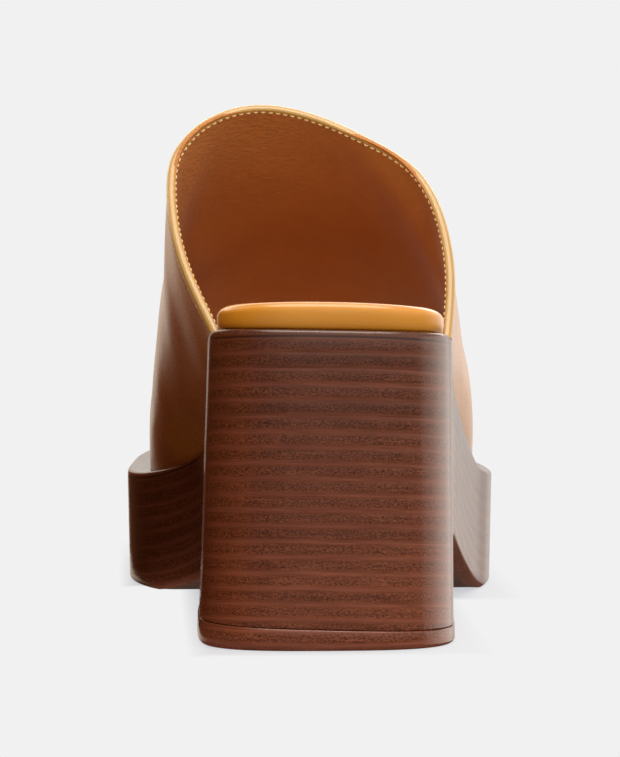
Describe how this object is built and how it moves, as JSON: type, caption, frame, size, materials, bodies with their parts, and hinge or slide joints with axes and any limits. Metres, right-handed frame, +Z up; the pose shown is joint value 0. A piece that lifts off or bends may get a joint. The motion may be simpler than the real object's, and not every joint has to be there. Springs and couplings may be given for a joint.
{
  "type": "heeled sandal",
  "caption": "Open-toe platform mule with a moulded stacked-look sole and block heel, a wide leather band over the instep, bound edges and a leather-covered insole.",
  "frame": {"origin": "on the floor under the middle of the shoe's length and width", "axes": "+Y from heel to toe, +X to the lateral side of this right shoe, +Z up"},
  "size_m": [0.1044, 0.2306, 0.1354],
  "materials": {
    "stacked_sole": "gloss, printed as stacked dark wood",
    "heel_tip": "gloss, dark brown",
    "insole_leather": "smooth golden tan",
    "upper_leather": "smooth caramel tan, reddish brown lining",
    "binding_leather": "folded edge, bright tan"
  },
  "bodies": {
    "root": {"sole_unit": "stacked_sole", "heel_top_piece": "heel_tip", "insole": "insole_leather", "upper": "upper_leather", "topline_binding": "binding_leather", "toe_binding": "binding_leather"}
  },
  "joints": []
}
